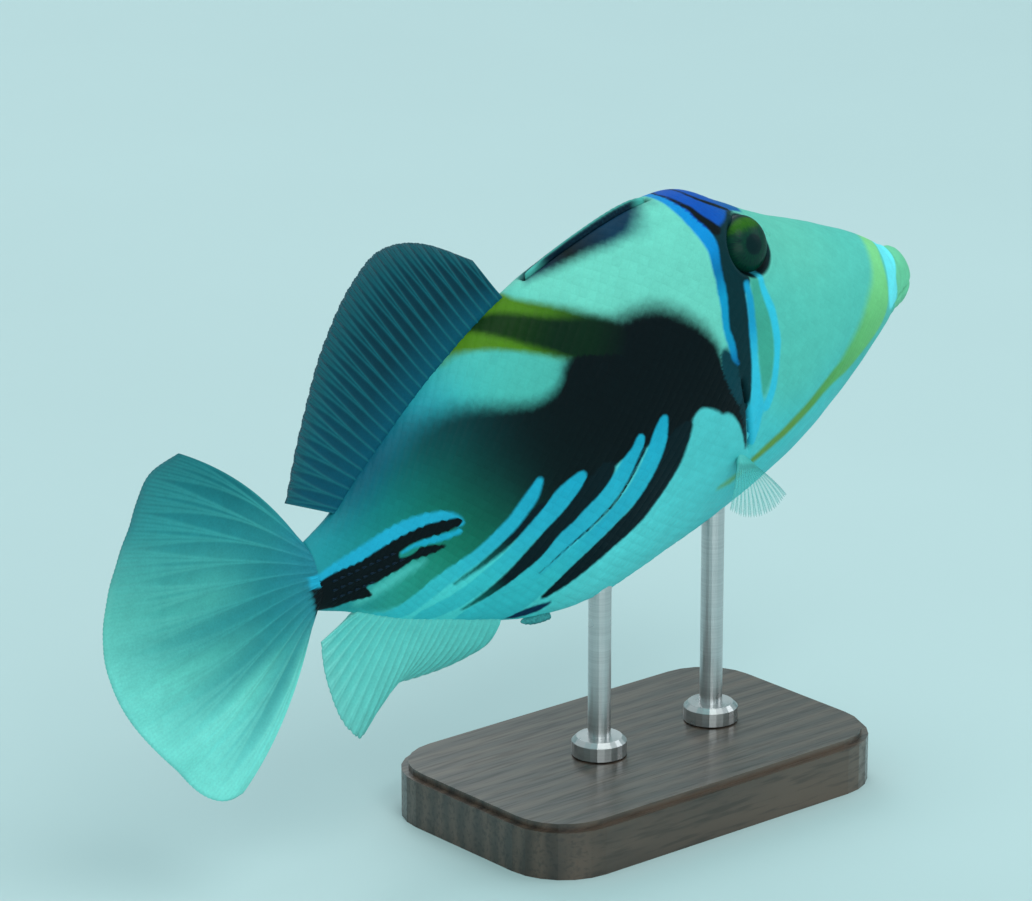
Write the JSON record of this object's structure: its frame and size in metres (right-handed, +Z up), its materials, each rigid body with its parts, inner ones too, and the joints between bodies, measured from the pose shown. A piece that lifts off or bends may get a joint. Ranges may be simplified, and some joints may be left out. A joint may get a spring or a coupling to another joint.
{
  "type": "picasso triggerfish display model",
  "caption": "Life-size still model of a picasso triggerfish swimming nose up, with folded trigger spine, held by two rods on a flat display base.",
  "frame": {"origin": "on the floor, at the centre of the display base's underside, under the fish's balance point", "axes": "+X the way the fish faces, +Y its left side, +Z up; the body axis is pitched 10.6 degrees nose up"},
  "size_m": [0.2179, 0.06, 0.135],
  "materials": {
    "skin": "moist scaled skin, pale aqua with blue-black and olive markings",
    "lip_skin": "smooth yellow lip skin",
    "fin": "thin translucent membrane on fine rays",
    "tail": "translucent olive-green tail fin, pale at its edges",
    "spine": "dark rough spine and membrane",
    "eye": "polished, dark pupil in a gold and olive iris",
    "stand_wood": "dark stained, satin lacquer",
    "stand_steel": "brushed"
  },
  "bodies": {
    "root": {"upper_lip": "lip_skin", "lower_lip": "lip_skin", "head": "skin", "trunk": "skin", "tail_stalk": "skin", "eye_right": "eye", "eye_left": "eye", "trigger_fin": "spine", "pelvic_spine": "spine", "dorsal_fin": "fin", "anal_fin": "fin", "tail_fin": "tail", "pectoral_fin_right": "fin", "pectoral_fin_left": "fin", "stand_base": "stand_wood", "stand_rod_front": "stand_steel", "stand_rod_rear": "stand_steel"}
  },
  "joints": []
}
